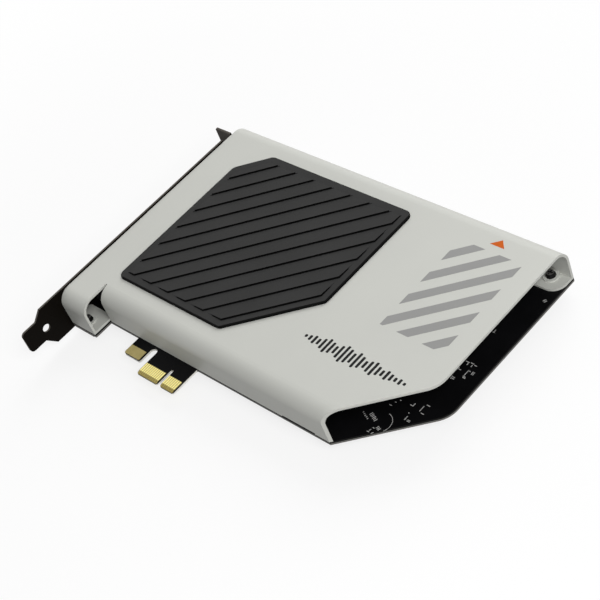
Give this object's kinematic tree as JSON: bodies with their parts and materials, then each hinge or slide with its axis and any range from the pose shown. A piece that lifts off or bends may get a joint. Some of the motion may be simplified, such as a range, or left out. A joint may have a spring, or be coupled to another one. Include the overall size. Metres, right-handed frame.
{
  "type": "sound card",
  "caption": "Expansion slot sound card: board with gold edge contacts under a folded cover with a slatted dark panel, on a slot bracket with round audio sockets.",
  "frame": {"origin": "under the middle of the overall box, at its lowest point", "axes": "+X from the slot bracket to the free end, +Y from the edge contacts to the back edge, +Z out of the component side"},
  "size_m": [0.1748, 0.1276, 0.0225],
  "materials": {
    "board": "satin black solder mask",
    "contact_gold": "polished gold plate",
    "bracket_black": "satin black plate",
    "cover_paint": "satin pale grey paint",
    "panel_plastic": "matt dark grey moulding",
    "screw_black": "black oxide",
    "nut_steel": "bright zinc",
    "socket_plastic": "moulded black",
    "sleeve_gold": "polished gold plate",
    "lead_tin": "tinned",
    "relay_plastic": "moulded ivory",
    "can_aluminium": "bright can",
    "base_plastic": "moulded black",
    "coil_ferrite": "ferrite grey",
    "clock_lid": "satin lid",
    "chip_part_ceramic": "ceramic",
    "chip_mould": "moulded epoxy"
  },
  "bodies": {
    "root": {"amplifier_1": "chip_mould", "amplifier_1_leads": "lead_tin", "amplifier_2": "chip_mould", "amplifier_2_leads": "lead_tin", "amplifier_3": "chip_mould", "amplifier_3_leads": "lead_tin", "audio_converter": "chip_mould", "audio_converter_leads": "lead_tin", "audio_processor": "chip_mould", "audio_processor_leads": "lead_tin", "bracket_screw": "screw_black", "capacitor_1_base": "base_plastic", "capacitor_1_can": "can_aluminium", "capacitor_2_base": "base_plastic", "capacitor_2_can": "can_aluminium", "capacitor_3_base": "base_plastic", "capacitor_3_can": "can_aluminium", "capacitor_4_base": "base_plastic", "capacitor_4_can": "can_aluminium", "capacitor_5_base": "base_plastic", "capacitor_5_can": "can_aluminium", "capacitor_6_base": "base_plastic", "capacitor_6_can": "can_aluminium", "chip_parts": "chip_part_ceramic", "circuit_board": "board", "clock_oscillator_1": "clock_lid", "clock_oscillator_2": "clock_lid", "cover_nuts": "nut_steel", "cover_screws": "screw_black", "cover_shroud": "cover_paint", "edge_contacts_component_side": "contact_gold", "edge_contacts_solder_side": "contact_gold", "guide_tab_plating": "contact_gold", "output_relay_1": "relay_plastic", "output_relay_1_leads": "lead_tin", "output_relay_2": "relay_plastic", "output_relay_2_leads": "lead_tin", "regulator_tab": "lead_tin", "ribbed_panel": "panel_plastic", "slot_bracket": "bracket_black", "socket_1_housing": "socket_plastic", "socket_1_sleeve": "sleeve_gold", "socket_1_terminals": "lead_tin", "socket_2_housing": "socket_plastic", "socket_2_sleeve": "sleeve_gold", "socket_2_terminals": "lead_tin", "socket_3_housing": "socket_plastic", "socket_3_sleeve": "sleeve_gold", "socket_3_terminals": "lead_tin", "socket_4_housing": "socket_plastic", "socket_4_sleeve": "sleeve_gold", "socket_4_terminals": "lead_tin", "socket_5_housing": "socket_plastic", "socket_5_sleeve": "sleeve_gold", "socket_5_terminals": "lead_tin", "supply_coil_1": "coil_ferrite", "supply_coil_2": "coil_ferrite", "voltage_regulator": "chip_mould"}
  },
  "joints": []
}
